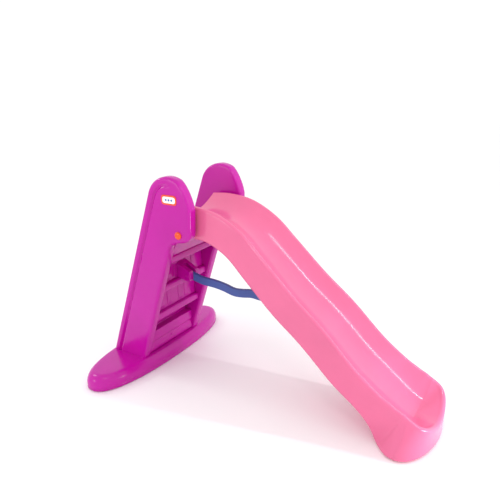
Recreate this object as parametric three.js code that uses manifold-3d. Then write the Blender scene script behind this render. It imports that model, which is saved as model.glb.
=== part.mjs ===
// Folding toddler slide: a leaning ladder on a boat-shaped foot, hinged at its two ears to a wavy
// blow-moulded chute, and a wavy brace that keeps the two apart.
// Millimetres. +X runs from the ladder to the chute's exit, +Y is the climber's left, +Z is up.
import * as THREE from 'three';
import { mergeVertices } from 'three/addons/utils/BufferGeometryUtils.js';
import Module from 'manifold-3d';

const wasm = await Module();
wasm.setup();

// ---- Driving dimensions ----
const totalHeight = 980;
const ladderWidth = 431;
const panelThickness = 48;
const wall = 4.5; // blow-moulded skin
const gap = 0.3; // between pieces that touch
const drainRadius = 6; // in the floor of each hollow foot

// Both edges of a side panel lean forward: x = foot + lean * z.
const rearLean = 0.364;
const frontLean = 0.341;
const rearEdge = (z) => 2 + rearLean * z;
const frontEdge = (z) => 204 + frontLean * z;
const earRadius = 116;
const panelEdgeRadius = 11;

// Base foot, seen from above a superellipse with its long axis across the slide.
const base = { centreX: 130, halfX: 133, halfY: 468, height: 75, power: 2.35, skirt: 26 };

// Four treads; the last one is the platform.
const treadPitch = 160;
const platformTop = 612;
const treadThickness = 35;
const treadSetback = 14; // behind the panels' front edge
const riserSetback = 45;
const riserThickness = 12;
const apron = { top: 700, topFront: 446, thickness: 14 }; // closes the front above the platform

const pinAxis = { x: 488, z: 735 };
const pinRadius = 8;
const runningGap = 0.4;

const brace = { halfHeight: 20, halfThickness: 9, pinRadius: 6 };
const bracket = { halfWidth: 34, front: 393, low: 444, high: 496, rearTop: 530, cornerRadius: 10 };
const braceHeel = { x: 372, z: 466 }; // pivot on the ladder
const braceToe = { x: 925, z: 463 }; // rod under the chute that the brace snaps onto

const exitX = 1577;

// The whole slide is centred on its box in X, so that the origin is under its middle.
const rearX = base.centreX - base.halfX;
const originX = (rearX + exitX) / 2;

// ---- Materials ----
const plastic = (color, roughness) => new THREE.MeshStandardMaterial({ color, roughness, metalness: 0 });
const magenta = plastic(0xd12ead, 0.36);
const pink = plastic(0xfb86b2, 0.24);
const blue = plastic(0x4b5ea0, 0.42);
const orange = plastic(0xf26a2c, 0.32);
const badgeWhite = plastic(0xf4f0ea, 0.35);
const steel = new THREE.MeshStandardMaterial({ color: 0xb9bcc0, roughness: 0.3, metalness: 1 });

const slide = new THREE.Group();
slide.position.x = -originX;

function addPiece(name, geometry, material) {
  const mesh = new THREE.Mesh(geometry, material);
  mesh.name = name;
  slide.add(mesh);
}

// ---- Solids from geometries and back ----
function solidOf(geometry) {
  const bare = geometry.clone();
  bare.deleteAttribute('normal');
  bare.deleteAttribute('uv');
  const merged = mergeVertices(bare, 1e-4);
  const vertProperties = new Float32Array(merged.attributes.position.array);
  const triVerts = new Uint32Array(merged.index.array);
  return new wasm.Manifold(new wasm.Mesh({ numProp: 3, vertProperties, triVerts }));
}

function geometryOf(solid) {
  const mesh = solid.getMesh();
  const geometry = new THREE.BufferGeometry();
  geometry.setAttribute('position', new THREE.BufferAttribute(mesh.vertProperties, mesh.numProp));
  geometry.setIndex(new THREE.BufferAttribute(mesh.triVerts, 1));
  return geometry;
}

// A side-view outline in (x, z), carried along Y from yLow to yHigh, with optionally rounded rims.
function sideExtrusion(shape, yLow, yHigh, rimRadius = 0, curveSegments = 10) {
  const geometry = new THREE.ExtrudeGeometry(shape, {
    depth: yHigh - yLow - 2 * rimRadius,
    bevelEnabled: rimRadius > 0,
    bevelThickness: rimRadius,
    bevelSize: rimRadius,
    bevelOffset: -rimRadius,
    bevelSegments: 2,
    curveSegments,
  });
  return geometry.rotateX(Math.PI / 2).translate(0, yHigh - rimRadius, 0);
}

const polygon = (points) => new THREE.Shape(points.map(([x, z]) => new THREE.Vector2(x, z)));

function roundedBox(xLow, xHigh, zLow, zHigh, radius) {
  const shape = new THREE.Shape();
  shape.moveTo(xLow + radius, zLow).lineTo(xHigh - radius, zLow);
  shape.absarc(xHigh - radius, zLow + radius, radius, -Math.PI / 2, 0);
  shape.absarc(xHigh - radius, zHigh - radius, radius, 0, Math.PI / 2);
  shape.absarc(xLow + radius, zHigh - radius, radius, Math.PI / 2, Math.PI);
  shape.absarc(xLow + radius, zLow + radius, radius, Math.PI, 1.5 * Math.PI);
  return shape;
}

// A round bar along Y between two sides.
function crossBar(x, z, radius, yLow, yHigh, sides = 24) {
  return new THREE.CylinderGeometry(radius, radius, yHigh - yLow, sides)
    .translate(0, (yLow + yHigh) / 2, 0)
    .rotateY(Math.PI / sides)
    .translate(x, 0, z);
}

// A turned piece whose axis is Y; the profile's height grows towards +Y times direction.
function turnedAlongY(profile, x, y, z, direction, sides = 24) {
  const points = profile.map(([radius, height]) => new THREE.Vector2(radius, height));
  const geometry = new THREE.LatheGeometry(points, sides);
  if (direction < 0) geometry.rotateX(Math.PI);
  return geometry.translate(x, y, z);
}

// ---- Base foot ----
// Lathe layers give inset and height; each turn is then stretched to the superellipse.
function baseBody(inset) {
  const reach = base.halfX;
  const top = base.height - inset;
  const shoulder = reach * 0.8;
  const profile = [new THREE.Vector2(0, inset)];
  profile.push(new THREE.Vector2(reach - 9 - inset, inset));
  profile.push(new THREE.Vector2(reach - inset, Math.max(inset, 10)));
  profile.push(new THREE.Vector2(reach - inset, base.skirt));
  const steps = 5;
  for (let i = 1; i <= steps; i++) {
    const angle = (i / steps) * (Math.PI / 2);
    const radius = shoulder - inset + (reach - shoulder) * Math.cos(angle);
    profile.push(new THREE.Vector2(radius, base.skirt + (top - base.skirt) * Math.sin(angle)));
  }
  profile.push(new THREE.Vector2(0, top));
  const geometry = new THREE.LatheGeometry(profile, 44).rotateX(Math.PI / 2);
  const position = geometry.attributes.position;
  for (let i = 0; i < position.count; i++) {
    const radius = Math.hypot(position.getX(i), position.getY(i));
    const angle = Math.atan2(position.getY(i), position.getX(i));
    const halfY = base.halfY * (radius / reach) ** 0.45;
    const cosine = Math.cos(angle);
    const sine = Math.sin(angle);
    const exponent = 2 / base.power;
    position.setX(i, base.centreX + radius * Math.sign(cosine) * Math.abs(cosine) ** exponent);
    position.setY(i, halfY * Math.sign(sine) * Math.abs(sine) ** exponent);
  }
  return geometry;
}

const screwWells = [];
for (const x of [72, 186]) {
  for (const side of [-1, 1]) screwWells.push({ x, y: side * (ladderWidth - panelThickness) / 2 });
}
const wellRadius = 10;
const wellCeiling = base.height - 12;
const shankHoleRadius = 3.6;

function uprightBar(x, y, radius, zLow, zHigh, sides = 16) {
  return new THREE.CylinderGeometry(radius, radius, zHigh - zLow, sides)
    .rotateX(Math.PI / 2)
    .translate(x, y, (zLow + zHigh) / 2);
}

function buildBaseFoot() {
  let hollow = solidOf(baseBody(wall));
  for (const { x, y } of screwWells) {
    hollow = hollow.subtract(solidOf(uprightBar(x, y, wellRadius + wall, -1, base.height + 1)));
  }
  let body = solidOf(baseBody(0)).subtract(hollow);
  for (const { x, y } of screwWells) {
    body = body.subtract(solidOf(uprightBar(x, y, wellRadius, -1, wellCeiling)));
    body = body.subtract(solidOf(uprightBar(x, y, shankHoleRadius, -1, base.height + 1)));
  }
  const drain = uprightBar(base.centreX, 0, drainRadius, -1, wall + 1);
  addPiece('base_foot', geometryOf(body.subtract(solidOf(drain))), magenta);
}

function buildBaseScrews() {
  const headHeight = 4;
  const shankLength = base.height + 24 - wellCeiling;
  const profile = [
    [0, -headHeight],
    [7.5, -headHeight],
    [7.5, 0],
    [3, 0],
    [3, shankLength],
    [0, shankLength],
  ];
  const points = profile.map(([radius, height]) => new THREE.Vector2(radius, height));
  screwWells.forEach(({ x, y }, index) => {
    const screw = new THREE.LatheGeometry(points, 16).rotateX(Math.PI / 2);
    addPiece(`base_screw_${index + 1}`, screw.translate(x, y, wellCeiling - gap), steel);
  });
}

// ---- Side panels ----
// The ear is an arc at its rear and over its top, falls off more steeply at its front and ends
// below in a nearly level chin.
function panelShape(inset, zLow) {
  const lean = Math.hypot(1, rearLean);
  const earZ = totalHeight - earRadius;
  const earX = rearEdge(earZ) + earRadius * lean;
  const rearAngle = Math.PI - Math.atan(rearLean);
  const crownAngle = THREE.MathUtils.degToRad(65);
  const radius = earRadius - inset;
  const crown = [earX + radius * Math.cos(crownAngle), earZ + radius * Math.sin(crownAngle)];
  const chinFoot = 640;
  const shape = new THREE.Shape();
  shape.moveTo(rearEdge(zLow) + inset * lean, zLow);
  shape.lineTo(frontEdge(zLow) - inset * lean, zLow);
  shape.lineTo(frontEdge(chinFoot) - inset * lean, chinFoot);
  shape.bezierCurveTo(428 - inset, 680 + inset / 2, 440 - inset / 2, 690 + inset, 490, 699 + inset);
  shape.bezierCurveTo(530 - inset / 2, 706 + inset, 549 - inset, 712 + inset, 551 - inset, 760);
  shape.lineTo(554 - inset, 845);
  shape.bezierCurveTo(548 - inset, 890, 512 - inset / 2, 958 - inset, ...crown);
  shape.absarc(earX, earZ, radius, crownAngle, rearAngle);
  return shape;
}

const panelFoot = base.height + gap;
const solidFoot = 30; // the screws bite into a solid block at the foot

function buildSidePanel(name, side) {
  const outerY = ladderWidth / 2;
  const innerY = outerY - panelThickness;
  const span = (inset) => [(innerY + inset) * side, (outerY - inset) * side].sort((p, q) => p - q);
  const outside = panelShape(0, panelFoot);
  const inside = panelShape(wall, panelFoot + solidFoot);
  let panel = solidOf(sideExtrusion(outside, ...span(0), panelEdgeRadius, 8))
    .subtract(solidOf(sideExtrusion(inside, ...span(wall), panelEdgeRadius - 2, 6)));
  panel = panel.subtract(solidOf(crossBar(pinAxis.x, pinAxis.z, pinRadius + runningGap, ...span(-5))));
  for (const well of screwWells.filter(({ y }) => y * side > 0)) {
    panel = panel.subtract(solidOf(uprightBar(well.x, well.y, shankHoleRadius, 60, base.height + 26)));
  }
  addPiece(name, geometryOf(panel), magenta);
}

// ---- Treads, platform and risers ----
const innerHalf = ladderWidth / 2 - panelThickness - gap;
const treadTops = [3, 2, 1, 0].map((below) => platformTop - below * treadPitch);
const treadBottoms = treadTops.map((top, i) => (i === 0 ? base.height + gap : top - treadThickness));
const lowestFrontZ = 97; // where the bottom tread's front face meets the panels' slope
const treadFronts = [
  frontEdge(lowestFrontZ) - treadSetback,
  frontEdge(treadBottoms[1]) - treadSetback,
  frontEdge(treadBottoms[2]) - treadSetback,
  frontEdge(treadBottoms[3]) - 1, // the platform comes out to the panels' front edge
];
const noseRadius = 9;

function buildTread(name, index) {
  const top = treadTops[index];
  const bottom = treadBottoms[index];
  const rear = rearEdge(top) + 4;
  const front = treadFronts[index];
  const outer = roundedBox(rear, front, bottom, top, noseRadius);
  outer.holes.push(roundedBox(rear + wall, front - wall, bottom + wall, top - wall, noseRadius - wall));
  let tread = solidOf(sideExtrusion(outer, -innerHalf, innerHalf, 0, 4));
  if (frontScrews.some((screw) => screw.tread === index)) {
    const { z } = frontScrews.find((screw) => screw.tread === index);
    tread = tread.subtract(solidOf(bodyAlongX(3.5, front - 2 * wall, front + 2, z)));
  }
  addPiece(name, geometryOf(tread), magenta);
}

function bodyAlongX(radius, xLow, xHigh, z) {
  return new THREE.CylinderGeometry(radius, radius, xHigh - xLow, 16)
    .rotateZ(Math.PI / 2)
    .translate((xLow + xHigh) / 2, 0, z);
}

// One screw through the front of the bottom tread and one under the brace bracket.
const frontScrews = [{ tread: 0, z: 112 }, { tread: 2, z: 432 }];

function buildFrontScrews() {
  const profile = [[0, 4], [4, 3.5], [6.6, 1.6], [7, 0], [3, 0], [3, -22], [0, -24]];
  frontScrews.forEach(({ tread, z }, index) => {
    const points = profile.map(([radius, height]) => new THREE.Vector2(radius, height)).reverse();
    const screw = new THREE.LatheGeometry(points, 16).rotateZ(-Math.PI / 2);
    screw.translate(treadFronts[tread] + gap, 0, z);
    addPiece(`front_screw_${index + 1}`, screw, magenta);
  });
}

// Risers stand on one tread and end under the next; they are vertical, so each one
// is further behind the leaning front edge at its top than at its bottom.
const lowestRiserAdvance = 24;
function riserFace(index) {
  return frontEdge(treadTops[index]) - riserSetback + (index === 0 ? lowestRiserAdvance : 0);
}

function buildRisers() {
  const low = (index) => treadTops[index] + gap;
  const high = (index) => treadBottoms[index + 1] - gap;
  // The lowest riser steps back into a pocket for its upper half.
  const shelf = 182;
  const pocket = 40;
  const face = riserFace(0);
  const lowest = polygon([
    [face - riserThickness, low(0)],
    [face, low(0)],
    [face, shelf],
    [face - pocket, shelf],
    [face - pocket, high(0)],
    [face - pocket - riserThickness, high(0)],
    [face - pocket - riserThickness, shelf - riserThickness],
    [face - riserThickness, shelf - riserThickness],
  ]);
  addPiece('riser_lower', sideExtrusion(lowest, -innerHalf, innerHalf), magenta);
  for (const [index, name] of [[1, 'riser_middle'], [2, 'riser_upper']]) {
    const front = riserFace(index);
    const shape = polygon([
      [front - riserThickness, low(index)],
      [front, low(index)],
      [front, high(index)],
      [front - riserThickness, high(index)],
    ]);
    addPiece(name, sideExtrusion(shape, -innerHalf, innerHalf), magenta);
  }
  // Above the platform a leaning apron closes the front up to the chute's top end.
  const apronFoot = treadFronts[3] - 1;
  const leaning = polygon([
    [apronFoot - apron.thickness, platformTop + gap],
    [apronFoot, platformTop + gap],
    [apron.topFront, apron.top],
    [apron.topFront - apron.thickness, apron.top],
  ]);
  addPiece('front_apron', sideExtrusion(leaning, -innerHalf, innerHalf), magenta);
}

// ---- Chute ----
// Matched stations down the chute, each [x, z] on the rail's crest, [x, z] on the lower edge,
// half the crest spacing, half the width at the lower edge, depth of the bed below the crest.
const stations = [
  [[425, 846], [425, 712], 137, 153, 54],
  [[520, 851], [505, 707], 140, 156, 58],
  [[640, 832], [590, 697], 143, 159, 60],
  [[760, 769], [684, 653], 146, 162, 60],
  [[868, 671], [775, 570], 149, 166, 60],
  [[1003, 545], [908, 446], 153, 170, 60],
  [[1138, 434], [1040, 342], 156, 173, 60],
  [[1272, 305], [1178, 216], 160, 177, 60],
  [[1372, 229], [1282, 134], 162, 174, 62],
  [[1436, 192], [1336, 72], 163, 169, 68],
  [[1468, 177], [1371, 6], 163, 168, 72],
  [[1476, 172], [1396, 0], 163, 192, 72],
  [[1484, 167], [1425, 0], 163, 214, 72],
];
// The foot ends in a nose: half an ellipse at the floor, squarer at the crest, which falls to a lip.
const nose = { floorX: 1458, floorHalf: 222, crestX: 1492, crestHalf: 163, setback: 3 };
const noseHeight = { crest: 163, lip: 88, bedDepth: 72, lipDepth: 8 };
const noseEnd = 65; // degrees; the last stretch is cut off flat
const crestSquareness = 0.57;
for (const degrees of [0, 15, 30, 42, 54, noseEnd]) {
  const share = degrees / noseEnd;
  const cosine = Math.cos(THREE.MathUtils.degToRad(degrees));
  const reach = Math.sin(THREE.MathUtils.degToRad(degrees)) / Math.sin(THREE.MathUtils.degToRad(noseEnd));
  stations.push([
    [
      nose.crestX + (exitX - nose.setback - nose.crestX) * reach ** crestSquareness,
      THREE.MathUtils.lerp(noseHeight.crest, noseHeight.lip, share),
    ],
    [nose.floorX + (exitX - nose.floorX) * reach, 0],
    nose.crestHalf * cosine ** crestSquareness,
    nose.floorHalf * cosine,
    THREE.MathUtils.lerp(noseHeight.bedDepth, noseHeight.lipDepth, share),
  ]);
}
const alongSegments = 38;
const acrossSegments = 20;
const railHalf = 12;
const recessDepth = 56; // hollow under the bed, between the two skirts

const curveOf = (pick) => new THREE.SplineCurve(stations.map((s) => new THREE.Vector2(...pick(s))));
const crestCurve = curveOf((s) => s[0]);
const lowCurve = curveOf((s) => s[1]);
const widthCurve = curveOf((s) => [s[2], s[3]]);
const bedCurve = curveOf((s) => [s[4], 0]);

function stationAt(u) {
  const low = lowCurve.getPoint(u);
  low.y = Math.max(low.y, 0);
  const widths = widthCurve.getPoint(u);
  return {
    crest: crestCurve.getPoint(u),
    low,
    crestHalf: widths.x,
    lowHalf: widths.y,
    bedDepth: bedCurve.getPoint(u).x,
    recess: recessDepth * recessShare(u),
    bedPower: THREE.MathUtils.lerp(1.6, 2.6, Math.min(1, u * 3.4)),
  };
}

// How much of the recess is left: none at the closed top end and none in the foot.
function recessShare(u) {
  return THREE.MathUtils.smoothstep(u, 0.03, 0.08) * (1 - THREE.MathUtils.smoothstep(u, 0.46, 0.52));
}

// The section's upper outline for a from 0 (middle) to 1 (outer corner): y and depth below the crest.
function upperOutline(a, { crestHalf, bedDepth, bedPower }) {
  const railStart = 0.76;
  if (a <= railStart) {
    const t = a / railStart;
    const innerY = crestHalf - railHalf * 0.81;
    return new THREE.Vector2(innerY * t, bedDepth + (railHalf * 0.41 - bedDepth) * t ** bedPower);
  }
  const angle = Math.PI * 0.8 * (1 - (a - railStart) / (1 - railStart));
  return new THREE.Vector2(crestHalf + railHalf * Math.cos(angle), railHalf * (1 - Math.sin(angle)));
}

// The lower outline, as height above the lower edge: flat skirts outside, the recess between them.
function lowerOutline(a, { lowHalf, recess }) {
  const inSkirt = THREE.MathUtils.smoothstep(a, 0.72, 0.8);
  return new THREE.Vector2((a / 0.92) * lowHalf, recess * (1 - inSkirt));
}

// Moves a point of an outline to its inner side by the given distance.
function insetPoint(outline, a, station, inset) {
  const point = outline(a, station);
  const nudge = 0.015;
  const ahead = outline(Math.min(1, a + nudge), station);
  const behind = outline(Math.max(0, a - nudge), station);
  const along = ahead.sub(behind).normalize();
  return new THREE.Vector2(point.x - inset * along.y, point.y + inset * along.x);
}

// One point of the body: a across (-1 to 1), b from the underside (0) to the top (1), u down the chute.
function chutePoint(a, b, u, inset) {
  const station = stationAt(u);
  const depthAxis = station.low.clone().sub(station.crest);
  const height = depthAxis.length();
  depthAxis.normalize();
  const side = Math.abs(a);
  const top = insetPoint(upperOutline, side, station, inset);
  const bottom = insetPoint(lowerOutline, side, station, inset);
  bottom.x = Math.min(bottom.x, station.lowHalf - inset);
  const y = THREE.MathUtils.lerp(bottom.x, top.x, b ** 0.75);
  const depth = THREE.MathUtils.lerp(height - bottom.y, top.y, b);
  const place = station.crest.addScaledVector(depthAxis, depth);
  return [place.x, Math.sign(a) * y, place.y];
}

function chuteBody(inset) {
  const box = new THREE.BoxGeometry(2, 1, 1, acrossSegments, 2, alongSegments);
  const position = box.attributes.position;
  const chuteLength = 1400;
  const endInset = inset / chuteLength;
  for (let i = 0; i < position.count; i++) {
    const a = position.getX(i);
    const b = position.getY(i) + 0.5;
    const u = THREE.MathUtils.clamp(position.getZ(i) + 0.5, endInset, 1 - endInset);
    position.setXYZ(i, ...chutePoint(a, b, u, inset));
  }
  return box;
}

function buildChute() {
  let body = solidOf(chuteBody(0)).subtract(solidOf(chuteBody(wall)));
  for (const side of [-1, 1]) {
    const bossEnd = ladderWidth / 2 - panelThickness - 1;
    const span = [146, bossEnd].map((y) => y * side).sort((p, q) => p - q);
    body = body.add(solidOf(crossBar(pinAxis.x, pinAxis.z, 20, ...span)));
  }
  body = body.subtract(solidOf(crossBar(pinAxis.x, pinAxis.z, pinRadius + runningGap, -200, 200)));
  body = body.subtract(solidOf(crossBar(braceToe.x, braceToe.z, brace.pinRadius + gap, -150, 150)));
  const drain = uprightBar(nose.floorX, 0, drainRadius, -1, 2 * wall);
  addPiece('chute', geometryOf(body.subtract(solidOf(drain))), pink);
}

// ---- Hinge pins ----
function buildHingePins() {
  const headRadius = 16.5;
  const tip = ladderWidth / 2 - 100;
  const head = ladderWidth / 2 + gap;
  for (const [name, side] of [['hinge_pin_left', 1], ['hinge_pin_right', -1]]) {
    const profile = [
      [0, tip],
      [pinRadius - 1.5, tip],
      [pinRadius, tip + 4],
      [pinRadius, head],
      [headRadius, head],
      [headRadius, head + 3],
      [headRadius - 3.5, head + 6.5],
      [headRadius - 9, head + 8],
      [0, head + 8.5],
    ];
    addPiece(name, turnedAlongY(profile, pinAxis.x, 0, pinAxis.z, side), orange);
  }
}

// ---- Brace and what holds it ----
// The strap's centre line, chosen by hand: it dips, levels out and dips again.
const braceLine = new THREE.SplineCurve([
  new THREE.Vector2(braceHeel.x, braceHeel.z),
  new THREE.Vector2(440, 450),
  new THREE.Vector2(510, 447),
  new THREE.Vector2(565, 440),
  new THREE.Vector2(620, 428),
  new THREE.Vector2(665, 431),
  new THREE.Vector2(715, 439),
  new THREE.Vector2(775, 436),
  new THREE.Vector2(850, 441),
  new THREE.Vector2(braceToe.x, braceToe.z),
]);

function buildBrace() {
  const samples = 36;
  const upper = [];
  const lower = [];
  for (let i = 0; i <= samples; i++) {
    const point = braceLine.getPoint(i / samples);
    const tangent = braceLine.getTangent(i / samples);
    const normal = new THREE.Vector2(-tangent.y, tangent.x);
    upper.push(point.clone().addScaledVector(normal, brace.halfHeight));
    lower.push(point.clone().addScaledVector(normal, -brace.halfHeight));
  }
  const strap = solidOf(sideExtrusion(new THREE.Shape([...lower, ...upper.reverse()]),
    -brace.halfThickness, brace.halfThickness));
  const span = [-brace.halfThickness, brace.halfThickness];
  const hole = brace.pinRadius + runningGap;
  // The toe is an open jaw: the rod under the chute leaves it backwards and upwards.
  const jaw = polygon([
    [braceToe.x - 6, braceToe.z - 6],
    [braceToe.x + 7, braceToe.z - 2],
    [braceToe.x + 7, braceToe.z + 6],
    [braceToe.x + 2, braceToe.z + 40],
    [braceToe.x - 46, braceToe.z + 40],
  ]);
  const body = strap
    .add(solidOf(crossBar(braceHeel.x, braceHeel.z, brace.halfHeight, ...span)))
    .add(solidOf(crossBar(braceToe.x, braceToe.z, brace.halfHeight, ...span)))
    .subtract(solidOf(crossBar(braceHeel.x, braceHeel.z, hole, -20, 20)))
    .subtract(solidOf(crossBar(braceToe.x, braceToe.z, hole + 0.6, -20, 20)))
    .subtract(solidOf(sideExtrusion(jaw, -20, 20)));
  addPiece('brace_bar', geometryOf(body), blue);
}

// The bracket is a wide block with a slot for the strap and a counterbore for each pin end.
function buildBraceBracket() {
  const rear = riserFace(2) + gap;
  const seat = treadTops[2] + gap;
  const corner = bracket.cornerRadius;
  const cheek = new THREE.Shape();
  cheek.moveTo(rear, seat).lineTo(treadFronts[2] - noseRadius, seat);
  cheek.lineTo(braceHeel.x - corner, bracket.low).lineTo(bracket.front - corner, bracket.low);
  cheek.absarc(bracket.front - corner, bracket.low + corner, corner, -Math.PI / 2, 0);
  cheek.absarc(bracket.front - corner, bracket.high - corner, corner, 0, Math.PI / 2);
  cheek.lineTo(rear, bracket.rearTop);
  const slotHalf = brace.halfThickness + 1.5;
  const boreFloor = brace.halfThickness + 9;
  const boreRadius = 11.4;
  const slotRear = braceHeel.x - brace.halfHeight - 13;
  const slot = roundedBox(slotRear, bracket.front + 30, seat - 20, bracket.rearTop + 20, 4);
  const boreSpan = [boreFloor, bracket.halfWidth + 1];
  const body = solidOf(sideExtrusion(cheek, -bracket.halfWidth, bracket.halfWidth, 3))
    .subtract(solidOf(sideExtrusion(slot, -slotHalf, slotHalf)))
    .subtract(solidOf(crossBar(braceHeel.x, braceHeel.z, brace.pinRadius + runningGap, -30, 30)))
    .subtract(solidOf(crossBar(braceHeel.x, braceHeel.z, boreRadius, ...boreSpan)))
    .subtract(solidOf(crossBar(braceHeel.x, braceHeel.z, boreRadius, -boreSpan[1], -boreSpan[0])));
  addPiece('brace_bracket', geometryOf(body), magenta);
  const head = boreFloor + gap;
  const tail = head + 6;
  const pin = [
    [0, -head - 3.5],
    [8, -head - 3.5],
    [9.5, -head - 1.5],
    [9.5, -head],
    [brace.pinRadius, -head],
    [brace.pinRadius, tail],
    [0, tail],
  ];
  addPiece('brace_pivot_pin', turnedAlongY(pin, braceHeel.x, 0, braceHeel.z, -1), steel);
  // A plug pressed over the pin's end fills the near counterbore.
  const plugBore = brace.pinRadius + 0.15;
  const plugDepth = tail - head + gap;
  const plugTop = bracket.halfWidth - head;
  const plug = [
    [0, plugDepth],
    [plugBore, plugDepth],
    [plugBore, 0],
    [11, 0],
    [11, plugTop - 1.5],
    [9.5, plugTop],
    [0, plugTop],
  ];
  addPiece('brace_pivot_cap', turnedAlongY(plug, braceHeel.x, -head, braceHeel.z, -1), magenta);
}

// A rod across the recess; its ends sit inside the two skirts.
function buildCatchRod() {
  const catchHalf = 146;
  const rod = crossBar(braceToe.x, braceToe.z, brace.pinRadius, -catchHalf, catchHalf);
  addPiece('brace_catch_rod', rod, steel);
}

// ---- Badge ----
function buildBadge() {
  const [width, height, thickness] = [82, 42, 1.6];
  const shape = roundedBox(-width / 2, width / 2, -height / 2, height / 2, 15);
  const face = -ladderWidth / 2 - gap;
  const badge = sideExtrusion(shape, face - thickness, face, 0, 6);
  addPiece('side_badge', badge.translate(449, 0, 884), badgeWhite);
}

buildBaseFoot();
buildBaseScrews();
buildSidePanel('side_panel_left', 1);
buildSidePanel('side_panel_right', -1);
['tread_lower', 'tread_middle', 'tread_upper', 'top_platform'].forEach(buildTread);
buildRisers();
buildFrontScrews();
buildChute();
buildHingePins();
buildBrace();
buildBraceBracket();
buildCatchRod();
buildBadge();

export default slide;
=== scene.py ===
import math

import bmesh
import bpy
import numpy as np
from mathutils import Matrix, Vector


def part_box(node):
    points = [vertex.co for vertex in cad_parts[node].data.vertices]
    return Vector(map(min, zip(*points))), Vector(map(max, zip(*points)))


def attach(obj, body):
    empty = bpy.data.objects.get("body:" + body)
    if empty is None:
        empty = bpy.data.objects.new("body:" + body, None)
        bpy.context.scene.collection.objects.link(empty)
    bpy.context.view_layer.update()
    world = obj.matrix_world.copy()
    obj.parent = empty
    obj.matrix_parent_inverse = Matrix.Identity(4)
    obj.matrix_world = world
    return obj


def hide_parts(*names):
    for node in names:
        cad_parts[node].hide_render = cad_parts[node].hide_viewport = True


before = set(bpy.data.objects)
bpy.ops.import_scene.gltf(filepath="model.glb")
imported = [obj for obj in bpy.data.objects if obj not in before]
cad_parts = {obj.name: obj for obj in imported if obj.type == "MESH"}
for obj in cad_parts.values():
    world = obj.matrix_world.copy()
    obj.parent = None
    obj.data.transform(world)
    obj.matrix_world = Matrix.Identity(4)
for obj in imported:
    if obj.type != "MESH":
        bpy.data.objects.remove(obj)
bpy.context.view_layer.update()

MM = 0.001

# ---------------------------------------------------------------- places read from the frame
PANEL_LOW, PANEL_HIGH = (np.array(v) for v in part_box("side_panel_left"))
CHUTE_HIGH = np.array(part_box("chute")[1])
FOOT_LOW, FOOT_HIGH = (np.array(v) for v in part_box("base_foot"))
PIN_LOW, PIN_HIGH = (np.array(v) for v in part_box("hinge_pin_left"))
BADGE_LOW, BADGE_HIGH = (np.array(v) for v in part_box("side_badge"))

# The outlines below are written in millimetres from the point where the rear edge of the
# ladder's foot would stand at x = -3; ORIGIN moves them into the frame.
FOOT_REAR = -3.0
ORIGIN = FOOT_LOW[0] / MM - FOOT_REAR
EXIT_X = CHUTE_HIGH[0] / MM - ORIGIN


def place(x, y, z):
    """A point given in outline millimetres, in the frame's metres."""
    return ((x + ORIGIN) * MM, y * MM, z * MM)


# ---------------------------------------------------------------- small mesh tools
def smoothstep(low, high, value):
    """Eases from 0 at low to 1 at high; high may be the smaller one."""
    t = min(1.0, max(0.0, (value - low) / (high - low)))
    return t * t * (3 - 2 * t)


def lerp(a, b, t):
    return a + (b - a) * t


def new_object(name, mesh):
    obj = bpy.data.objects.new(name, mesh)
    bpy.context.scene.collection.objects.link(obj)
    return obj


def finish_mesh(bm, name, sharp_degrees=50):
    """Welds, turns all faces outward, shades smooth and keeps edges over the given angle sharp."""
    bmesh.ops.remove_doubles(bm, verts=bm.verts, dist=1e-6)
    bmesh.ops.recalc_face_normals(bm, faces=bm.faces)
    for face in bm.faces:
        face.smooth = True
    for edge in bm.edges:
        if len(edge.link_faces) == 2:
            edge.smooth = edge.calc_face_angle(0.0) < math.radians(sharp_degrees)
    mesh = bpy.data.meshes.new(name)
    bm.to_mesh(mesh)
    bm.free()
    return new_object(name, mesh)


def add_modifier_bevel(obj, width, segments=3, degrees=35):
    bevel = obj.modifiers.new("edges", "BEVEL")
    bevel.width = width
    bevel.segments = segments
    bevel.limit_method = "ANGLE"
    bevel.angle_limit = math.radians(degrees)
    bevel.harden_normals = False
    return bevel


def loft(rings, name, sharp_degrees=50):
    """Closed skin through rings of equal length; each ring is a closed loop of points in metres."""
    bm = bmesh.new()
    rows = [[bm.verts.new(p) for p in ring] for ring in rings]
    count = len(rows[0])
    for row, after in zip(rows, rows[1:]):
        for j in range(count):
            k = (j + 1) % count
            bm.faces.new((row[j], row[k], after[k], after[j]))
    bm.faces.new(rows[0][::-1])
    bm.faces.new(rows[-1])
    return finish_mesh(bm, name, sharp_degrees)


def catmull(points, t):
    """Uniform Catmull-Rom spline through the points, t from 0 to 1."""
    points = np.asarray(points, float)
    count = len(points)
    p = (count - 1) * t
    i = min(int(math.floor(p)), count - 2) if t < 1 else count - 2
    w = p - i
    before = points[max(i - 1, 0)]
    start, end = points[i], points[i + 1]
    after = points[min(i + 2, count - 1)]
    v0, v1 = (end - before) / 2, (after - start) / 2
    return ((2 * start - 2 * end + v0 + v1) * w**3 + (-3 * start + 3 * end - 2 * v0 - v1) * w**2
            + v0 * w + start)


def fillet(corners, steps=5):
    """Rounds the corners of a closed polygon; each corner is (x, y, reach of its rounding)."""
    points = []
    count = len(corners)
    for i, (x, y, radius) in enumerate(corners):
        here = np.array([x, y], float)
        before = np.array(corners[i - 1][:2], float) - here
        after = np.array(corners[(i + 1) % count][:2], float) - here
        if radius <= 0:
            points.append(here)
            continue
        reach = min(radius, 0.48 * np.linalg.norm(before), 0.48 * np.linalg.norm(after))
        start = here + before / max(np.linalg.norm(before), 1e-9) * reach
        end = here + after / max(np.linalg.norm(after), 1e-9) * reach
        for k in range(steps + 1):
            t = k / steps
            points.append((1 - t) ** 2 * start + 2 * t * (1 - t) * here + t * t * end)
    return points


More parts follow.
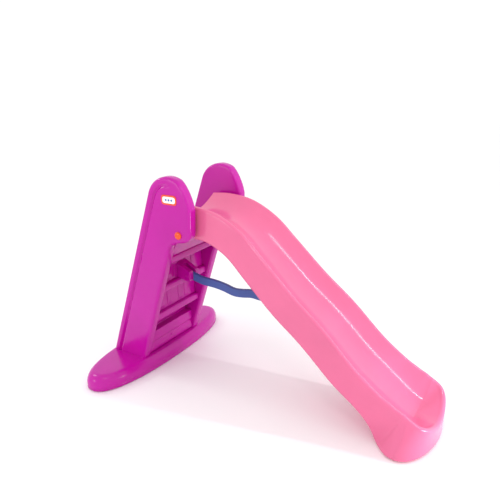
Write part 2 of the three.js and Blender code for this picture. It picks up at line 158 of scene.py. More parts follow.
# ---------------------------------------------------------------- materials
class Nodes:
    """Thin helper around a material's node tree."""

    def __init__(self, name):
        self.material = bpy.data.materials.new(name)
        self.material.use_nodes = True
        self.tree = self.material.node_tree
        self.tree.nodes.clear()
        self.output = self.add("ShaderNodeOutputMaterial")
        self.shader = self.add("ShaderNodeBsdfPrincipled")
        self.link(self.shader.outputs[0], self.output.inputs["Surface"])
        self.coords = self.add("ShaderNodeTexCoord").outputs["Object"]

    def add(self, kind, **settings):
        node = self.tree.nodes.new(kind)
        for key, value in settings.items():
            setattr(node, key, value)
        return node

    def link(self, source, target):
        self.tree.links.new(source, target)

    def mapping(self, scale, rotation=(0, 0, 0)):
        node = self.add("ShaderNodeMapping")
        node.inputs["Scale"].default_value = scale
        node.inputs["Rotation"].default_value = rotation
        self.link(self.coords, node.inputs["Vector"])
        return node.outputs["Vector"]

    def noise(self, scale, detail=3.0, roughness=0.5, vector=None):
        node = self.add("ShaderNodeTexNoise")
        node.inputs["Scale"].default_value = scale
        node.inputs["Detail"].default_value = detail
        node.inputs["Roughness"].default_value = roughness
        self.link(vector or self.coords, node.inputs["Vector"])
        return node.outputs["Fac"]

    def spread(self, value, low, high, to_low, to_high):
        node = self.add("ShaderNodeMapRange")
        node.inputs["From Min"].default_value = low
        node.inputs["From Max"].default_value = high
        node.inputs["To Min"].default_value = to_low
        node.inputs["To Max"].default_value = to_high
        self.link(value, node.inputs["Value"])
        return node.outputs["Result"]

    def blend(self, factor, first, second):
        node = self.add("ShaderNodeMix", data_type="RGBA")
        self.link(factor, node.inputs["Factor"])
        for socket, value in ((node.inputs[6], first), (node.inputs[7], second)):
            if isinstance(value, bpy.types.NodeSocket):
                self.link(value, socket)
            else:
                socket.default_value = (*value, 1.0)
        return node.outputs[2]

    def math(self, operation, first, second):
        node = self.add("ShaderNodeMath", operation=operation)
        for socket, value in zip(node.inputs, (first, second)):
            if isinstance(value, bpy.types.NodeSocket):
                self.link(value, socket)
            else:
                socket.default_value = value
        return node.outputs[0]

    def bump(self, height, strength, distance):
        node = self.add("ShaderNodeBump")
        node.inputs["Strength"].default_value = strength
        node.inputs["Distance"].default_value = distance
        self.link(height, node.inputs["Height"])
        self.link(node.outputs["Normal"], self.shader.inputs["Normal"])


def linear(red, green, blue):
    """sRGB 0-255 to linear."""
    def channel(value):
        value /= 255
        return value / 12.92 if value <= 0.04045 else ((value + 0.055) / 1.055) ** 2.4
    return tuple(channel(v) for v in (red, green, blue))


def shade(color, factor):
    return tuple(min(1.0, c * factor) for c in color)


def moulded_plastic(name, color, roughness, specular=0.5, peel=0.25, sheen_of_wear=0.5):
    """Moulded polyethylene: uneven pigment, orange-peel skin, cloudy gloss and fine scuffs."""
    nodes = Nodes(name)
    pigment = nodes.noise(3.2, 4.0, 0.55)
    pigment = nodes.spread(pigment, 0.3, 0.7, 0.0, 1.0)
    body = nodes.blend(pigment, shade(color, 0.93), shade(color, 1.05))
    scuff_coords = nodes.mapping((9, 160, 60), (0.3, 0.5, 0.4))
    scuffs = nodes.spread(nodes.noise(3.0, 6.0, 0.7, scuff_coords), 0.63, 0.74, 0.0, sheen_of_wear)
    patches = nodes.spread(nodes.noise(5.5, 3.0, 0.6), 0.5, 0.68, 0.0, 1.0)
    wear = nodes.math("MULTIPLY", scuffs, patches)
    worn = tuple(lerp(c, 1.0, 0.22) for c in color)
    nodes.link(nodes.blend(wear, body, worn), nodes.shader.inputs["Base Color"])
    cloud = nodes.spread(nodes.noise(14.0, 4.0, 0.6), 0.3, 0.7, roughness - 0.04, roughness + 0.06)
    rough = nodes.math("ADD", cloud, nodes.math("MULTIPLY", wear, 0.25))
    nodes.link(rough, nodes.shader.inputs["Roughness"])
    skin = nodes.noise(190.0, 2.0, 0.5)
    waves = nodes.noise(24.0, 2.0, 0.4)
    height = nodes.math("ADD", nodes.math("MULTIPLY", skin, 0.35), waves)
    height = nodes.math("SUBTRACT", height, nodes.math("MULTIPLY", wear, 0.2))
    nodes.bump(height, peel, 0.0012)
    nodes.shader.inputs["Specular IOR Level"].default_value = specular
    nodes.shader.inputs["IOR"].default_value = 1.5
    nodes.shader.inputs["Subsurface Weight"].default_value = 0.04
    nodes.shader.inputs["Subsurface Radius"].default_value = (0.012, 0.006, 0.006)
    return nodes.material


def plated_steel(name):
    nodes = Nodes(name)
    grain = nodes.noise(60.0, 5.0, 0.65, nodes.mapping((1, 30, 30)))
    tint = nodes.spread(nodes.noise(18.0, 3.0, 0.5), 0.35, 0.65, 0.0, 1.0)
    color = nodes.blend(tint, (0.52, 0.53, 0.55), (0.66, 0.66, 0.67))
    nodes.link(color, nodes.shader.inputs["Base Color"])
    nodes.link(nodes.spread(grain, 0.3, 0.7, 0.24, 0.42), nodes.shader.inputs["Roughness"])
    nodes.shader.inputs["Metallic"].default_value = 1.0
    nodes.bump(grain, 0.15, 0.0004)
    return nodes.material


MAGENTA = moulded_plastic("magenta_plastic", linear(190, 8, 156), 0.19, 0.38, 0.1, 0.2)
PINK = moulded_plastic("pink_plastic", linear(230, 108, 152), 0.14, 0.5, 0.06, 0.15)
BLUE = moulded_plastic("blue_plastic", linear(70, 92, 160), 0.34, 0.35, 0.3)
ORANGE = moulded_plastic("orange_plastic", linear(238, 84, 26), 0.2, 0.5, 0.16)
BADGE_WHITE = moulded_plastic("badge_white", linear(244, 242, 238), 0.25, 0.5, 0.08, 0.2)
BADGE_RED = moulded_plastic("badge_orange", linear(236, 78, 36), 0.25, 0.5, 0.08, 0.2)
BADGE_BLUE = moulded_plastic("badge_blue", linear(52, 96, 172), 0.25, 0.5, 0.08, 0.2)
STEEL = plated_steel("zinc_plated_steel")


def dress(obj, material):
    obj.data.materials.clear()
    obj.data.materials.append(material)


def stand_in(obj, body, material, slot, *nodes):
    """A finished piece that takes the place of CAD nodes."""
    dress(obj, material)
    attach(obj, body)
    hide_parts(*nodes)
    return obj


# ---------------------------------------------------------------- ladder
LADDER_HALF = PANEL_HIGH[1] / MM
PANEL_THICKNESS = (PANEL_HIGH[1] - PANEL_LOW[1]) / MM
PANEL_FOOT = PANEL_LOW[2] / MM
TOTAL_HEIGHT = PANEL_HIGH[2] / MM
PIN_X = (PIN_LOW[0] + PIN_HIGH[0]) / 2 / MM - ORIGIN
PIN_Z = (PIN_LOW[2] + PIN_HIGH[2]) / 2 / MM
REAR_LEAN, FRONT_LEAN = 0.364, 0.341
EAR_RADIUS = 116.0
PANEL_EDGE = 12.0


def rear_edge(z):
    return 2 + REAR_LEAN * z


def front_edge(z):
    return 204 + FRONT_LEAN * z


def bezier(points, t):
    a, b, c, d = (np.array(p, float) for p in points)
    return a * (1 - t)**3 + 3 * b * t * (1 - t)**2 + 3 * c * t * t * (1 - t) + d * t**3


def panel_chain(inset):
    """A side panel's outline without its foot: (x, z, strength of the rear groove)."""
    lean = math.hypot(1, REAR_LEAN)
    ear_z = TOTAL_HEIGHT - EAR_RADIUS
    ear_x = rear_edge(ear_z) + EAR_RADIUS * lean
    rear_angle = math.pi - math.atan(REAR_LEAN)
    crown_angle = math.radians(65)
    radius = EAR_RADIUS - inset
    tangent_z = ear_z + radius * math.sin(rear_angle)
    crown = (ear_x + radius * math.cos(crown_angle), ear_z + radius * math.sin(crown_angle))
    straight_steps, arc_steps, curve_steps, front_steps = 24, 44, 18, 20
    chain = []
    for k in range(straight_steps):
        z = lerp(PANEL_FOOT, tangent_z, k / straight_steps)
        chain.append((rear_edge(z) + inset * lean, z, 1.0))
    for k in range(arc_steps):
        angle = lerp(rear_angle, crown_angle, k / arc_steps)
        chain.append((ear_x + radius * math.cos(angle), ear_z + radius * math.sin(angle),
                      smoothstep(math.radians(70), math.radians(125), angle)))
    chin_foot = 640
    front_foot = (front_edge(chin_foot) - inset * lean, chin_foot)
    curves = [
        [crown, (512 - inset / 2, 958 - inset), (548 - inset, 890), (554 - inset, 845)],
        [(554 - inset, 845), (553 - inset, 817), (552 - inset, 789), (551 - inset, 760)],
        [(551 - inset, 760), (549 - inset, 712 + inset), (530 - inset / 2, 706 + inset), (490, 699 + inset)],
        [(490, 699 + inset), (440 - inset / 2, 690 + inset), (428 - inset, 680 + inset / 2), front_foot],
    ]
    for curve in curves:
        for k in range(curve_steps):
            x, z = bezier(curve, k / curve_steps)
            chain.append((x, z, 0.0))
    for k in range(front_steps + 1):
        z = lerp(chin_foot, PANEL_FOOT, k / front_steps)
        chain.append((front_edge(z) - inset * lean, z, 0.0))
    return chain


def build_side_panel(word, side):
    """A thick plate with round edges and a groove along the rear of its outer face."""
    groove_at, groove_half, groove_depth = 36.0, 11.0, 8.0
    # Each row of the panel's skin: inset from the outline, depth below the outer face, and
    # whether the depth belongs to the groove.
    face_inset, inner_face_inset = 50, 20
    profile = [(face_inset, 0, False)]
    groove_steps = 8
    for k in range(groove_steps + 1):
        offset = lerp(groove_half, -groove_half, k / groove_steps)
        depth = groove_depth * 0.5 * (1 + math.cos(math.pi * offset / groove_half))
        profile.append((groove_at + offset, depth, True))
    round_steps = 6
    for k in range(round_steps + 1):
        angle = math.pi / 2 * k / round_steps
        profile.append((PANEL_EDGE * (1 - math.sin(angle)), PANEL_EDGE * (1 - math.cos(angle)), False))
    for k in range(round_steps + 1):
        angle = math.pi / 2 * (1 - k / round_steps)
        profile.append((PANEL_EDGE * (1 - math.sin(angle)),
                        PANEL_THICKNESS - PANEL_EDGE * (1 - math.cos(angle)), False))
    profile.append((inner_face_inset, PANEL_THICKNESS, False))
    bm = bmesh.new()
    rows = []
    for inset, depth, in_groove in profile:
        row = []
        for x, z, strength in panel_chain(inset):
            y = LADDER_HALF - depth * (strength if in_groove else 1)
            row.append(bm.verts.new(place(x, side * y, z)))
        rows.append(row)
    for row, after in zip(rows, rows[1:]):
        for j in range(len(row) - 1):
            bm.faces.new((row[j], row[j + 1], after[j + 1], after[j]))
    bm.faces.new(rows[0])
    bm.faces.new(rows[-1][::-1])
    bm.faces.new([row[0] for row in rows] + [row[-1] for row in reversed(rows)])
    panel = finish_mesh(bm, f"panel_{word}", 40)
    stand_in(panel, "ladder", MAGENTA, "magenta_plastic", f"side_panel_{word}")


def extruded(name, outline, y_low, y_high, bevel=0.0, degrees=35):
    """A closed side-view outline carried across the ladder, with softened edges."""
    bm = bmesh.new()
    near = [bm.verts.new(place(x, y_low, z)) for x, z in outline]
    far = [bm.verts.new(place(x, y_high, z)) for x, z in outline]
    count = len(outline)
    for j in range(count):
        k = (j + 1) % count
        bm.faces.new((near[j], near[k], far[k], far[j]))
    bm.faces.new(near[::-1])
    bm.faces.new(far)
    obj = finish_mesh(bm, name, 30)
    if bevel:
        add_modifier_bevel(obj, bevel * MM, 3, degrees)
    return obj


def joined(name, objects):
    """One object out of several closed shells, with their modifiers applied."""
    bm = bmesh.new()
    graph = bpy.context.evaluated_depsgraph_get()
    for obj in objects:
        mesh = bpy.data.meshes.new_from_object(obj.evaluated_get(graph))
        bm.from_mesh(mesh)
        bpy.data.objects.remove(obj)
    mesh = bpy.data.meshes.new(name)
    bm.to_mesh(mesh)
    bm.free()
    return new_object(name, mesh)


def turned(name, profile, x, z, side, segments=32):
    """A turned piece about an axis along Y; the profile is (radius, |y|), in order from one end."""
    bm = bmesh.new()
    rings = []
    for radius, y in profile:
        if radius < 1e-6:
            rings.append([bm.verts.new(place(x, side * y, z))])
            continue
        rings.append([bm.verts.new(place(x + radius * math.cos(2 * math.pi * k / segments), side * y,
                                         z + radius * math.sin(2 * math.pi * k / segments)))
                      for k in range(segments)])
    for ring, after in zip(rings, rings[1:]):
        for k in range(segments):
            n = (k + 1) % segments
            if len(ring) == 1:
                bm.faces.new((ring[0], after[k], after[n]))
            elif len(after) == 1:
                bm.faces.new((ring[k], after[0], ring[n]))
            else:
                bm.faces.new((ring[k], after[k], after[n], ring[n]))
    return finish_mesh(bm, name, 40)


TREADS = ["tread_lower", "tread_middle", "tread_upper", "top_platform"]


def tread_box(name):
    low, high = (np.array(v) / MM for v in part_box(name))
    return low[0] - ORIGIN, high[0] - ORIGIN, low[2], high[2], high[1]


def build_treads():
    nose = 9
    ribs, rib_half, rib_height, end_margin, side_margin = 5, 4.0, 2.2, 26, 34
    for name in TREADS:
        rear, front, bottom, top, half = tread_box(name)
        outline = fillet([(rear, bottom, nose), (front, bottom, nose),
                          (front, top, nose + 4), (rear, top, nose + 4)], 6)
        shells = [extruded("step", outline, -half, half, 1.2)]
        # Plain grip ribs run across the step.
        for k in range(ribs):
            x = lerp(rear + end_margin, front - end_margin, k / (ribs - 1))
            rib = fillet([(x - rib_half, top - 2, 0), (x + rib_half, top - 2, 0),
                          (x + rib_half * 0.6, top + rib_height, 1.6),
                          (x - rib_half * 0.6, top + rib_height, 1.6)], 3)
            shells.append(extruded("rib", rib, -half + side_margin, half - side_margin, 1.0))
        piece = joined(f"{name}_moulding", shells)
        stand_in(piece, "ladder", MAGENTA, "magenta_plastic", name)


def build_lowest_riser():
    """The wall above the foot, stepped back over a shelf to make a pocket."""
    low, high = (np.array(v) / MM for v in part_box("riser_lower"))
    face = high[0] - ORIGIN
    thickness, shelf, pocket, half = 12, 182, 40, high[1]
    back = face - thickness
    outline = [(back, low[2]), (face, low[2]), (face, shelf), (face - pocket, shelf),
               (face - pocket, high[2]), (back - pocket, high[2]),
               (back - pocket, shelf - thickness), (back, shelf - thickness)]
    piece = extruded("riser_lower_panel", outline, -half, half, 3.5)
    stand_in(piece, "ladder", MAGENTA, "magenta_plastic", "riser_lower")


def build_risers():
    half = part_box("riser_lower")[1][1] / MM
    rib_places, rib_half, rib_height = (-90, -42, 42, 90), 14, 2
    for name in ("riser_middle", "riser_upper"):
        low, high = (np.array(v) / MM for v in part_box(name))
        rear, front = low[0] - ORIGIN, high[0] - ORIGIN
        sheet = [(rear, low[2]), (front, low[2]), (front, high[2]), (rear, high[2])]
        shells = [extruded("sheet", sheet, -half, half, 1.5)]
        # Shallow upright ribs are moulded in on the chute's side.
        for y in rib_places:
            rib = [(front - 2, low[2] + 6), (front + rib_height, low[2] + 14),
                   (front + rib_height, high[2] - 14), (front - 2, high[2] - 6)]
            shells.append(extruded("rib", rib, y - rib_half, y + rib_half, 1.2))
        piece = joined(f"{name}_panel", shells)
        stand_in(piece, "ladder", MAGENTA, "magenta_plastic", name)


def build_apron():
    """The leaning sheet under the chute's top."""
    low, high = (np.array(v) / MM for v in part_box("front_apron"))
    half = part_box("riser_lower")[1][1] / MM
    rear, front = low[0] - ORIGIN, high[0] - ORIGIN
    sheet = 14
    outline = [(rear, low[2]), (rear + sheet, low[2]), (front, high[2]), (front - sheet, high[2])]
    piece = extruded("front_apron_panel", outline, -half, half, 3)
    stand_in(piece, "ladder", MAGENTA, "magenta_plastic", "front_apron")


def build_base():
    """A boat-shaped foot: rings of a rounded plan outline, from its sole to its flat top."""
    centre_x = (FOOT_LOW[0] + FOOT_HIGH[0]) / 2 / MM - ORIGIN
    reach = (FOOT_HIGH[0] - FOOT_LOW[0]) / 2 / MM
    half_y = FOOT_HIGH[1] / MM
    height = FOOT_HIGH[2] / MM
    skirt, shoulder, power = 26, reach * 0.8, 2.35
    edge, edge_steps, seam = 9, 5, 1.2
    profile = [(reach * 0.5, 0), (reach - 12, 0)]
    for k in range(1, edge_steps + 1):
        angle = math.pi / 2 * k / edge_steps
        profile.append((reach - edge + edge * math.sin(angle), edge - edge * math.cos(angle)))
    # A parting line runs round the skirt.
    profile += [(reach, 14), (reach - seam, 15.5), (reach - seam, 16.5), (reach, 18)]
    steps = 16
    for k in range(steps + 1):
        angle = math.pi / 2 * k / steps
        profile.append((shoulder + (reach - shoulder) * math.cos(angle),
                        skirt + (height - skirt) * math.sin(angle)))
    profile += [(shoulder * 0.8, height), (shoulder * 0.4, height)]
    segments = 160
    bm = bmesh.new()
    rings = []
    for radius, z in profile:
        ring = []
        stretch = half_y * (radius / reach) ** 0.45
        for k in range(segments):
            angle = 2 * math.pi * (k + 0.5) / segments
            c, s = math.cos(angle), math.sin(angle)
            x = centre_x + radius * math.copysign(abs(c) ** (2 / power), c)
            y = stretch * math.copysign(abs(s) ** (2 / power), s)
            ring.append(bm.verts.new(place(x, y, z)))
        rings.append(ring)
    for ring, after in zip(rings, rings[1:]):
        for k in range(segments):
            n = (k + 1) % segments
            bm.faces.new((ring[k], ring[n], after[n], after[k]))
    bm.faces.new(rings[0][::-1])
    bm.faces.new(rings[-1])
    foot = finish_mesh(bm, "base_foot_moulding", 40)
    stand_in(foot, "ladder", MAGENTA, "magenta_plastic", "base_foot")


def build_pins():
    """Orange pins with dished button heads."""
    head = LADDER_HALF + 0.3
    root, waist, shank, rim = 115.5, 119.5, 8, 16.5
    for word, side in (("left", 1), ("right", -1)):
        profile = [(0, root), (6.5, root), (shank, waist), (shank, head), (rim, head), (rim, head + 3.2),
                   (15.8, head + 5), (14, head + 6.8), (11, head + 8), (9, head + 8.3),
                   (8, head + 7.4), (6, head + 6.6), (0, head + 6.4)]
        pin = turned(f"pin_button_{word}", profile, PIN_X, PIN_Z, side, 40)
        stand_in(pin, "ladder", ORANGE, "orange_plastic", f"hinge_pin_{word}")


BRACE_LINE = [(372, 466), (440, 450), (510, 447), (565, 440), (620, 428), (665, 431), (715, 439), (775, 436),
              (850, 441), (925, 463)]


def build_brace():
    half_height, half_thickness, edge = 20.0, 9.0, 6.0
    samples, round_steps = 90, 10
    corners = [(-half_height, -half_thickness), (half_height, -half_thickness),
               (half_height, half_thickness), (-half_height, half_thickness)]
    section = fillet([(a, b, edge) for a, b in corners], 5)

    def ring(centre, normal, share):
        """The strap's section across its run; share squeezes its height for the round heel."""
        points = [(centre + normal * a * share, b) for a, b in section]
        return [place(point[0], b, point[1]) for point, b in points]

    loops = []
    for i in range(samples + 1):
        t = i / samples
        here = catmull(BRACE_LINE, t)
        along = catmull(BRACE_LINE, min(1, t + 0.004)) - catmull(BRACE_LINE, max(0, t - 0.004))
        along /= np.linalg.norm(along)
        normal = np.array([-along[1], along[0]])
        if i == 0:
            for k in range(1, round_steps):
                angle = math.pi / 2 * (1 - k / round_steps)
                loops.append(ring(here - along * half_height * math.sin(angle), normal, math.cos(angle)))
        loops.append(ring(here, normal, 1.0))
    strap = loft(loops, "brace_strap", 60)
    stand_in(strap, "brace", BLUE, "blue_plastic", "brace_bar")


def build_badge():
    width, height = (BADGE_HIGH[0] - BADGE_LOW[0]) / MM, (BADGE_HIGH[2] - BADGE_LOW[2]) / MM
    x = (BADGE_LOW[0] + BADGE_HIGH[0]) / 2 / MM - ORIGIN
    z = (BADGE_LOW[2] + BADGE_HIGH[2]) / 2 / MM
    face = BADGE_HIGH[1] / MM
    def plate(name, half_w, half_h, radius, proud):
        corners = [(x - half_w, z - half_h, radius), (x + half_w, z - half_h, radius),
                   (x + half_w, z + half_h, radius), (x - half_w, z + half_h, radius)]
        return extruded(name, fillet(corners, 8), face - proud, face, 0.5, 50)
    rim = plate("badge_rim", width / 2, height / 2, 17, 1.6)
    stand_in(rim, "ladder", BADGE_RED, "badge", "side_badge")
    field = plate("badge_field", width / 2 - 7, height / 2 - 7, 12, 2.1)
    dress(field, BADGE_WHITE)
    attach(field, "ladder")
    for k in (-1, 0, 1):
        profile = [(0, -face), (4.6, -face), (4.6, 2.3 - face), (4.0, 2.7 - face), (0, 2.8 - face)]
        dot = turned(f"badge_dot_{k + 2}", profile, x + 15 * k, z, -1, 24)
        dress(dot, BADGE_BLUE)
        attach(dot, "ladder")


# ---------------------------------------------------------------- chute
RUN_STATIONS = [
    # crest x, z; lower edge x, z; half crest spacing; half width below; depth of the bed
    (425, 846, 425, 712, 137, 153, 54),
    (520, 851, 505, 707, 140, 156, 58),
    (640, 832, 590, 697, 143, 159, 60),
    (760, 769, 684, 653, 146, 162, 60),
    (868, 671, 775, 570, 149, 166, 60),
    (1003, 545, 908, 446, 153, 170, 60),
    (1138, 434, 1040, 342, 156, 173, 60),
    (1272, 305, 1178, 216, 160, 177, 60),
    (1372, 229, 1282, 134, 162, 174, 62),
    (1436, 192, 1336, 72, 163, 169, 68),
    (1468, 177, 1371, 6, 163, 168, 72),
    (1476, 172, 1396, 0, 163, 192, 72),
    (1484, 167, 1425, 0, 163, 214, 72),
    (1492, 163, 1458, 0, 163, 222, 72),
]
RAIL_HALF = 12.0
INNER_ANGLE = 0.8  # where a rail's rounding meets the bed, in half turns
RECESS = 56.0
CORNER = 18.0
SKIRT_IN, RECESS_EDGE = 0.87, 0.78  # shares of the half width, under the chute
WALL_POWER, BED_POWER = 1.3, 2.6
BED_STEPS, ARC_STEPS, WALL_STEPS, CORNER_STEPS = 18, 10, 8, 5


def run_chain(u):
    """Half a section of the run, from the middle of the bed over the rail to the underside."""
    cx, cz, lx, lz, crest_half, low_half, bed_depth = catmull(RUN_STATIONS, u)
    lz = max(lz, 0.0)
    crest, low = np.array([cx, cz]), np.array([lx, lz])
    height = np.linalg.norm(crest - low)
    up = (crest - low) / height
    recess = RECESS * smoothstep(0.04, 0.1, u) * (1 - smoothstep(0.63, 0.72, u))
    power = lerp(1.6, BED_POWER, min(1.0, u * 2.6))
    chain = []
    inner_y = crest_half - RAIL_HALF * 0.81
    for k in range(BED_STEPS + 1):
        t = k / BED_STEPS
        chain.append((inner_y * t, height - bed_depth - (RAIL_HALF * 0.41 - bed_depth) * t**power))
    for k in range(1, ARC_STEPS + 1):
        angle = math.pi * INNER_ANGLE * (1 - k / ARC_STEPS)
        chain.append((crest_half + RAIL_HALF * math.cos(angle),
                      height - RAIL_HALF * (1 - math.sin(angle))))
    shoulder = chain[-1]
    for k in range(1, WALL_STEPS + 1):
        t = k / WALL_STEPS
        chain.append((lerp(shoulder[0], low_half, 1 - (1 - t) ** WALL_POWER),
                      lerp(shoulder[1], CORNER, t)))
    for k in range(1, CORNER_STEPS + 1):
        angle = math.pi / 2 * k / CORNER_STEPS
        chain.append((low_half - CORNER * (1 - math.cos(angle)), CORNER * (1 - math.sin(angle))))
    skirt_in, recess_edge = low_half * SKIRT_IN, low_half * RECESS_EDGE
    for k in range(CORNER_STEPS + 1):
        t = k / CORNER_STEPS
        chain.append((lerp(skirt_in, recess_edge, t), recess * smoothstep(0, 1, t)))
    chain.append((recess_edge * 0.6, recess))
    chain.append((0, recess))
    points = [(low + up * h, -y) for y, h in chain]
    return [place(point[0], y, point[1]) for point, y in points]


NOSE_ROLL = 20.0
NOSE_FLOOR = {"x": 1458.0, "reach": EXIT_X - 1458, "half": 222.0, "power": 2.0}
NOSE_CREST = {"x": 1492.0, "reach": EXIT_X - 1493 - NOSE_ROLL, "half": 163.0, "power": 3.2}
CREST_HEIGHT, LIP_HEIGHT, CREST_SLOPE = 163.0, 88.0, -0.6
NOSE_STEPS = 56


def nose_curve(shape, phi):
    """A point of the foot's rounded plan outline and the outward direction there."""
    power = shape["power"]
    s = math.sin(phi) ** (2 / power)
    c = max(math.cos(phi), 0.0) ** (2 / power)
    point = np.array([shape["x"] + shape["reach"] * s, -shape["half"] * c])
    normal = np.array([s ** (power - 1) / shape["reach"], -c ** (power - 1) / shape["half"]])
    return point, normal / np.linalg.norm(normal)


def nose_chains(bed_end):
    """Half sections that fan round the foot, from its side (0 degrees) to its front (90)."""
    # The squarer crest runs fast near both ends of the angle, so the steps are finer there.
    angles = [math.pi / 2 * smoothstep(0, 1, k / NOSE_STEPS) for k in range(1, NOSE_STEPS + 1)]
    crest_points = [nose_curve(NOSE_CREST, phi)[0] for phi in [0.0] + angles]
    lengths = np.cumsum([0.0] + [np.linalg.norm(b - a) for a, b in zip(crest_points, crest_points[1:])])
    chains = []
    for phi, length in zip(angles, lengths[1:]):
        tau = length / lengths[-1]
        start, end = CREST_HEIGHT, LIP_HEIGHT
        hermite = (2 * tau**3 - 3 * tau**2 + 1, tau**3 - 2 * tau**2 + tau)
        crest_z = end + (start - end) * hermite[0] + CREST_SLOPE * lengths[-1] * hermite[1]
        share = smoothstep(0, 1, tau)
        roll = lerp(RAIL_HALF, NOSE_ROLL, share)
        inner_angle = lerp(INNER_ANGLE, 0.5, share) * math.pi
        power = lerp(BED_POWER, 1.3, share)
        crest, normal = nose_curve(NOSE_CREST, phi)
        floor_point, floor_normal = nose_curve(NOSE_FLOOR, phi)
        centre_z = crest_z - roll

        def on_roll(angle):
            plan = crest + normal * roll * math.cos(angle)
            return np.array([plan[0], plan[1], centre_z + roll * math.sin(angle)])

        inner = on_roll(inner_angle)
        chain = []
        for k in range(BED_STEPS + 1):
            t = k / BED_STEPS
            plan = bed_end[:2] + (inner[:2] - bed_end[:2]) * t
            chain.append((plan[0], plan[1], bed_end[2] + (inner[2] - bed_end[2]) * t**power))
        for k in range(1, ARC_STEPS + 1):
            chain.append(tuple(on_roll(inner_angle * (1 - k / ARC_STEPS))))
        shoulder = np.array(chain[-1])
        for k in range(1, WALL_STEPS + 1):
            t = k / WALL_STEPS
            plan = shoulder[:2] + (floor_point - shoulder[:2]) * (1 - (1 - t) ** WALL_POWER)
            chain.append((plan[0], plan[1], lerp(shoulder[2], CORNER, t)))
        for k in range(1, CORNER_STEPS + 1):
            angle = math.pi / 2 * k / CORNER_STEPS
            plan = floor_point - floor_normal * CORNER * (1 - math.cos(angle))
            chain.append((plan[0], plan[1], CORNER * (1 - math.sin(angle))))
        floor_centre = np.array([NOSE_FLOOR["x"], 0.0])
        sole_shares = [lerp(SKIRT_IN, RECESS_EDGE, k / CORNER_STEPS) for k in range(CORNER_STEPS + 1)]
        for share_in in sole_shares + [0.47, 0.0]:
            plan = floor_centre + (floor_point - floor_centre) * share_in
            chain.append((plan[0], plan[1], 0.0))
        chains.append([place(*p) for p in chain])
    return chains


def build_chute():
    run_steps = 180
    rows = [run_chain(k / run_steps) for k in range(run_steps + 1)]
    bed_end = np.array(rows[-1][0]) / MM - np.array([ORIGIN, 0, 0])
    rows += nose_chains(bed_end)
    bm = bmesh.new()
    grid = [[bm.verts.new(p) for p in row] for row in rows]
    mirrored = [[bm.verts.new((p[0], -p[1], p[2])) for p in row] for row in rows]
    for half, flip in ((grid, False), (mirrored, True)):
        for row, after in zip(half, half[1:]):
            for j in range(len(row) - 1):
                quad = (row[j], row[j + 1], after[j + 1], after[j])
                bm.faces.new(reversed(quad) if flip else quad)
    bm.faces.new(grid[0][::-1] + mirrored[0][1:-1])
    bmesh.ops.remove_doubles(bm, verts=bm.verts, dist=1e-5)
    bmesh.ops.dissolve_degenerate(bm, edges=bm.edges, dist=1e-6)
    shell = finish_mesh(bm, "chute_shell", 55)
    add_modifier_bevel(shell, 4 * MM, 3, 55)
    stand_in(shell, "slide", PINK, "pink_plastic", "chute")
    # A round boss on each flank fills the space up to the ladder's ear.
    boss_start, boss_end, boss_radius = 146, LADDER_HALF - PANEL_THICKNESS - 1.2, 20
    for side, word in ((1, "left"), (-1, "right")):
        profile = [(0, boss_start), (boss_radius, boss_start), (boss_radius, boss_end - 2.8),
                   (boss_radius - 2, boss_end), (0, boss_end)]
        boss = turned(f"chute_hinge_boss_{word}", profile, PIN_X, PIN_Z, side, 40)
        dress(boss, PINK)
        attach(boss, "slide")


# ---------------------------------------------------------------- camera, light, floor
def build_camera():
    # The lens and place come from one fit of the whole object.
    azimuth, elevation, roll = (math.radians(v) for v in (32.1, 18.5, -0.93))
    back = Vector((math.sin(azimuth) * math.cos(elevation), -math.cos(azimuth) * math.cos(elevation),
                   math.sin(elevation)))
    right = Vector((math.cos(azimuth), math.sin(azimuth), 0))
    up = back.cross(right)
    turned_right = right * math.cos(roll) + up * math.sin(roll)
    turned_up = up * math.cos(roll) - right * math.sin(roll)
    target = Vector(place(708, 0, 645))
    data = bpy.data.cameras.new("camera")
    data.sensor_width = 36
    data.lens = 36 * 530 / 500
    camera = new_object("camera", data)
    axes = Matrix((turned_right, turned_up, back)).transposed().to_4x4()
    camera.matrix_world = Matrix.Translation(target + back * 2.321) @ axes
    bpy.context.scene.camera = camera


def strip_light(name, aim, direction, distance, along, length, width, power):
    """A rectangular light that shines on aim from the given direction, its long side along a line."""
    facing = Vector(direction).normalized()
    side = Vector(along)
    side = (side - facing * side.dot(facing)).normalized()
    data = bpy.data.lights.new(name, "AREA")
    data.shape = "RECTANGLE"
    data.size, data.size_y = length, width
    data.energy = power
    light = new_object(name, data)
    axes = Matrix((side, facing.cross(side), facing)).transposed().to_4x4()
    light.matrix_world = Matrix.Translation(Vector(aim) + facing * distance) @ axes


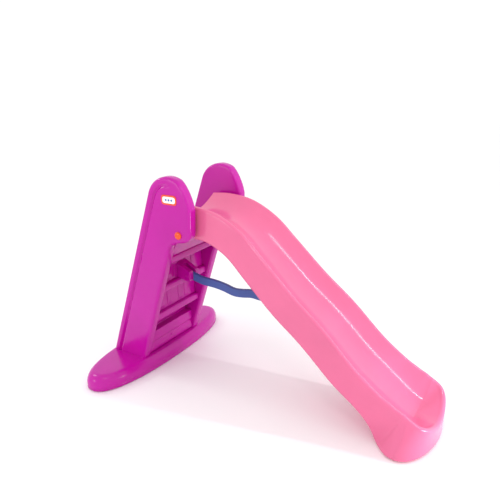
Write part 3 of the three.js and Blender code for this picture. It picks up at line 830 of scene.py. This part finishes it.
def build_stage():
    bm = bmesh.new()
    bmesh.ops.create_grid(bm, x_segments=2, y_segments=2, size=14)
    floor = finish_mesh(bm, "floor")
    nodes = Nodes("floor")
    tone = nodes.spread(nodes.noise(0.8, 2.0), 0.3, 0.7, 0.0, 1.0)
    nodes.link(nodes.blend(tone, (0.96, 0.96, 0.96), (0.98, 0.98, 0.98)), nodes.shader.inputs["Base Color"])
    nodes.shader.inputs["Roughness"].default_value = 0.9
    nodes.shader.inputs["Specular IOR Level"].default_value = 0.1
    floor.data.materials.append(nodes.material)
    floor.location.z = -0.0006
    world = bpy.data.worlds.new("studio")
    world.use_nodes = True
    world.node_tree.nodes["Background"].inputs["Color"].default_value = (1, 1, 1, 1)
    world.node_tree.nodes["Background"].inputs["Strength"].default_value = 1.06
    bpy.context.scene.world = world
    slope = (0.743, 0, -0.669)
    strip_light("crest", (0.36, -0.05, 0.38), (0.687, 0.272, 0.676), 2.2, slope, 1.9, 0.05, 11)
    strip_light("wall", (-0.3, -0.15, 0.78), (-0.5, -0.86, 0.02), 2.2, (0.95, 0, -0.3), 0.8, 0.06, 4)
    strip_light("ears", (-0.25, -0.2, 0.85), (0.5, -0.6, 0.6), 2.2, (0, 0, 1), 0.4, 0.12, 4)
    strip_light("rear", (-0.35, -0.2, 0.9), (-0.88, -0.15, 0.44), 2.2, (0, 1, 0), 0.5, 0.2, 5)
    strip_light("exit", (0.79, 0, 0.05), (1, 0.1, 0.06), 1.0, (0, 1, 0), 0.7, 0.2, 9)
    bpy.context.scene.view_settings.view_transform = "Standard"


def finish_small_parts():
    """CAD pieces whose shape is right keep it and get their finish."""
    finishes = {
        "brace_bracket": MAGENTA,
        "brace_pivot_cap": MAGENTA,
        "front_screw_1": MAGENTA,
        "front_screw_2": MAGENTA,
        "brace_pivot_pin": STEEL,
        "brace_catch_rod": STEEL,
    }
    for number in range(1, 5):
        finishes[f"base_screw_{number}"] = STEEL
    for name, material in finishes.items():
        node = bpy.data.objects[name]
        for slot in node.material_slots:
            slot.material = material


build_camera()
build_stage()
build_base()
for word, side in (("left", 1), ("right", -1)):
    build_side_panel(word, side)
build_treads()
build_lowest_riser()
build_risers()
build_apron()
build_chute()
build_pins()
build_brace()
build_badge()
finish_small_parts()
